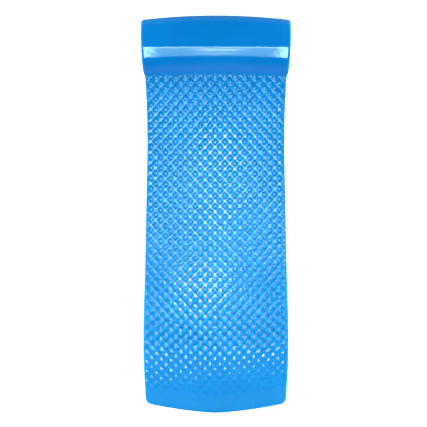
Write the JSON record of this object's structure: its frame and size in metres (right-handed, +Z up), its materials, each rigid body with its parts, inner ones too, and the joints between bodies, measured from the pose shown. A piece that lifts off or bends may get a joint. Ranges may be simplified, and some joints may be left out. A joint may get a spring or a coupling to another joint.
{
  "type": "pool float",
  "caption": "Flat foam lounger float with a rounded built-in head pillow, an embossed top and a smooth underside; a swimmer lies on it in the water.",
  "frame": {"origin": "on the ground under the middle of the float, which lies flat on its underside", "axes": "+Y along the float towards the pillow, +X across it, +Z up"},
  "size_m": [0.6656, 1.778, 0.105],
  "materials": {
    "vinyl": "gloss",
    "sheet_foam": "matte",
    "core_foam": "matte",
    "adhesive": "satin"
  },
  "bodies": {
    "root": {"foam_sheet": "sheet_foam", "pillow_core": "core_foam", "core_adhesive": "adhesive", "flap_adhesive": "adhesive", "top_coat": "vinyl", "underside_coat": "vinyl", "side_edge_coat_left": "vinyl", "side_edge_coat_right": "vinyl", "foot_edge_coat": "vinyl", "pillow_coat": "vinyl", "pillow_end_coat_left": "vinyl", "pillow_end_coat_right": "vinyl"}
  },
  "joints": []
}
